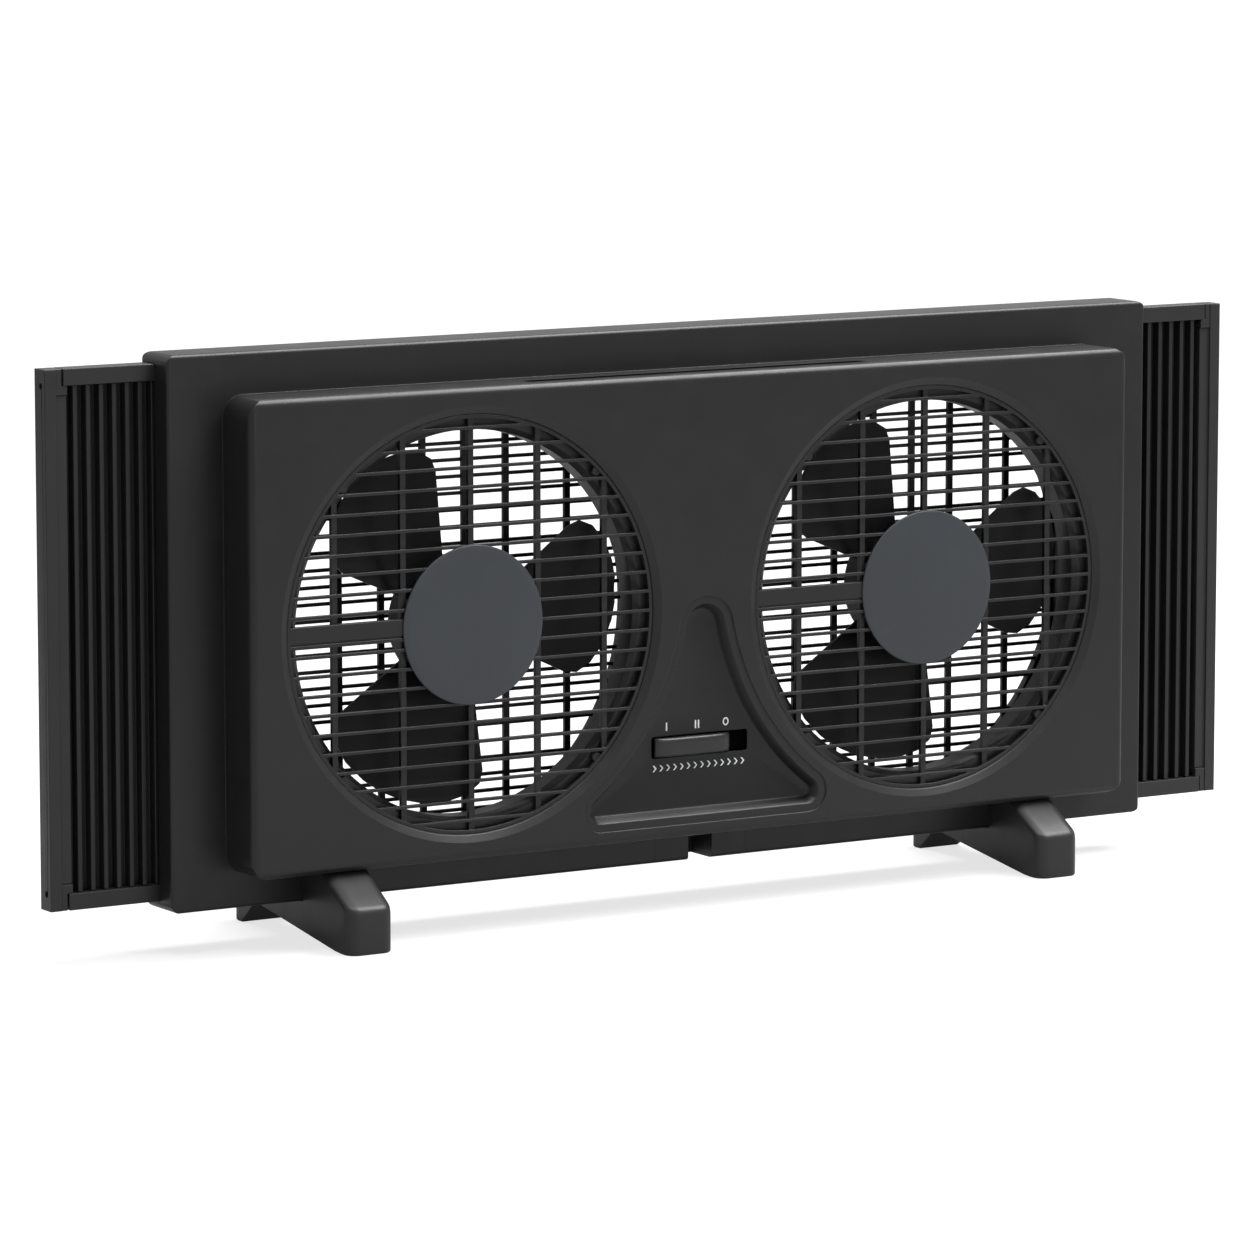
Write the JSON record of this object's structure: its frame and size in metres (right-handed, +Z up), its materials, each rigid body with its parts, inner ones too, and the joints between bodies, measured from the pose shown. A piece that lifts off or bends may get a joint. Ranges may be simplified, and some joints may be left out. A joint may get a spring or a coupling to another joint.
{
  "type": "window fan",
  "caption": "Wide shallow box with round fans side by side behind barred grilles, a recessed slide switch, sliding ribbed side panels to fill a window, and small feet.",
  "frame": {"origin": "on the ground, midway between the two end posts and midway between the toes of the feet", "axes": "+X to the right as seen from the front, +Y to the back, +Z up"},
  "size_m": [0.77, 0.134, 0.3235],
  "materials": {
    "charcoal_plastic": "fine grained, satin",
    "dark_plastic": "satin",
    "black_plastic": "satin",
    "cap_plastic": "satin",
    "plated_steel": "zinc plated",
    "sheet_steel": "stacked sheet edges",
    "copper_wire": "varnished windings",
    "bronze": "sintered",
    "lead_insulation": "smooth",
    "soft_rubber": "matt"
  },
  "bodies": {
    "housing": {"front_shell": "charcoal_plastic", "left_shroud": "charcoal_plastic", "right_shroud": "charcoal_plastic", "rear_cover": "dark_plastic", "rear_cover_screws": "plated_steel", "left_front_grille": "dark_plastic", "right_front_grille": "dark_plastic", "front_grille_screws": "plated_steel", "left_hub_cap": "cap_plastic", "right_hub_cap": "cap_plastic", "left_motor_stator": "sheet_steel", "right_motor_stator": "sheet_steel", "left_motor_coils": "copper_wire", "right_motor_coils": "copper_wire", "left_motor_front_bracket": "plated_steel", "right_motor_front_bracket": "plated_steel", "left_motor_rear_bracket": "plated_steel", "right_motor_rear_bracket": "plated_steel", "left_motor_bushings": "bronze", "right_motor_bushings": "bronze", "left_motor_screws": "plated_steel", "right_motor_screws": "plated_steel", "left_motor_lead": "lead_insulation", "right_motor_lead": "lead_insulation", "switch_body": "black_plastic", "switch_screws": "plated_steel", "inlet_plate": "charcoal_plastic", "inlet_pocket": "charcoal_plastic", "cord_grommet": "soft_rubber", "left_foot": "charcoal_plastic", "right_foot": "charcoal_plastic", "foot_screws": "plated_steel"},
    "left_fan": {"left_impeller": "black_plastic", "left_motor_shaft": "plated_steel", "left_motor_rotor": "sheet_steel", "left_impeller_clip": "plated_steel"},
    "right_fan": {"right_impeller": "black_plastic", "right_motor_shaft": "plated_steel", "right_motor_rotor": "sheet_steel", "right_impeller_clip": "plated_steel"},
    "left_expander": {"left_expander_panel": "dark_plastic", "left_expander_top_rail": "charcoal_plastic", "left_expander_bottom_rail": "charcoal_plastic", "left_end_post": "charcoal_plastic", "left_corner_keys": "charcoal_plastic"},
    "right_expander": {"right_expander_panel": "dark_plastic", "right_expander_top_rail": "charcoal_plastic", "right_expander_bottom_rail": "charcoal_plastic", "right_end_post": "charcoal_plastic", "right_corner_keys": "charcoal_plastic"},
    "switch": {"switch_knob": "charcoal_plastic"}
  },
  "joints": [
    {"name": "left_fan_spin", "type": "hinge", "parent": "housing", "child": "left_fan", "pos_m": [-0.14875, -0.025, 0.1705], "axis": [0, 1, 0], "continuous": true},
    {"name": "right_fan_spin", "type": "hinge", "parent": "housing", "child": "right_fan", "pos_m": [0.14875, -0.025, 0.1705], "axis": [0, 1, 0], "continuous": true},
    {"name": "left_expander_slide", "type": "slide", "parent": "housing", "child": "left_expander", "axis": [-1, 0, 0], "range_m": [-0.051, 0.028]},
    {"name": "right_expander_slide", "type": "slide", "parent": "housing", "child": "right_expander", "axis": [1, 0, 0], "range_m": [-0.051, 0.028]},
    {"name": "switch_slide", "type": "slide", "parent": "housing", "child": "switch", "axis": [1, 0, 0], "range_m": [0, 0.011]}
  ]
}
